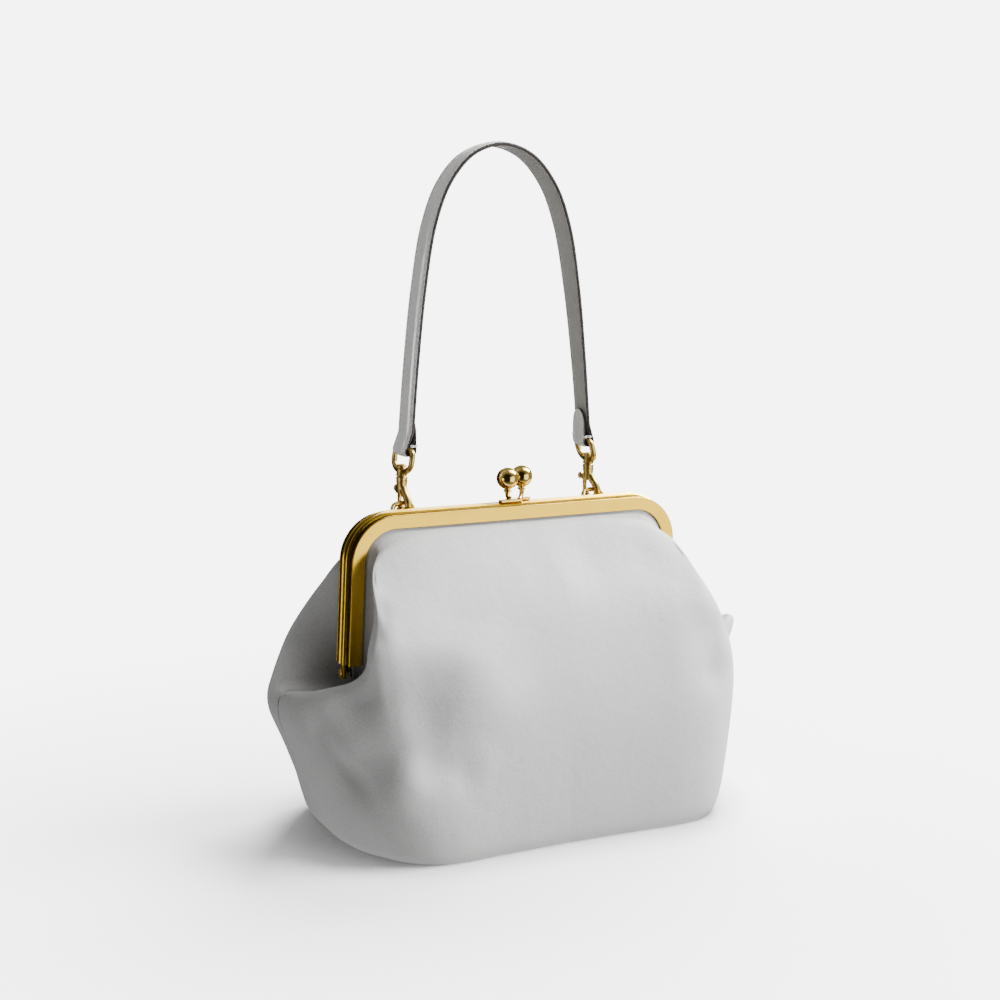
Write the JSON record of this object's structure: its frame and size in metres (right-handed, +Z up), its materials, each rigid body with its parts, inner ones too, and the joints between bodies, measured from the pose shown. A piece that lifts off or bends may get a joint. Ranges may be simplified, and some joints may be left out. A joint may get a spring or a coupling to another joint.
{
  "type": "kiss lock frame bag",
  "caption": "Soft leather frame bag: a pouch gripped by a hinged brass frame with a bead kiss lock, and an arched leather top handle on swivel snap hooks.",
  "frame": {"origin": "on the floor, under the middle of the bag", "axes": "+Z up along the bag's height, +X along its width to the right seen from the front, -Y toward the front"},
  "size_m": [0.2846, 0.14, 0.3778],
  "materials": {
    "pouch_leather": "smooth fine-grained pale grey leather, satin",
    "strap_leather": "smooth grey strap leather with dark painted edges",
    "satin_brass": "satin brass",
    "polished_brass": "polished brass"
  },
  "bodies": {
    "bag": {"front_panel": "pouch_leather", "back_panel": "pouch_leather", "strap": "strap_leather", "front_frame": "satin_brass", "back_frame": "satin_brass", "pivot_rivet_left": "polished_brass", "pivot_rivet_right": "polished_brass", "front_clasp": "polished_brass", "back_clasp": "polished_brass", "hook_left": "polished_brass", "hook_right": "polished_brass", "hook_eye_left": "polished_brass", "hook_eye_right": "polished_brass", "lever_pin_left": "polished_brass", "lever_pin_right": "polished_brass"},
    "left_lever": {"hook_lever_left": "polished_brass"},
    "right_lever": {"hook_lever_right": "polished_brass"}
  },
  "joints": [
    {"name": "left_hook_lever", "type": "hinge", "parent": "bag", "child": "left_lever", "pos_m": [-0.06063, 0.01828, 0.1872], "axis": [-0.9848, -0.1736, 0], "range_deg": [0, 11], "stiffness_Nm_per_rad": 0.02, "springref_deg": -11.46},
    {"name": "right_hook_lever", "type": "hinge", "parent": "bag", "child": "right_lever", "pos_m": [0.05815, 0.01813, 0.1872], "axis": [-0.866, -0.5, 0], "range_deg": [0, 11], "stiffness_Nm_per_rad": 0.02, "springref_deg": -11.46}
  ]
}
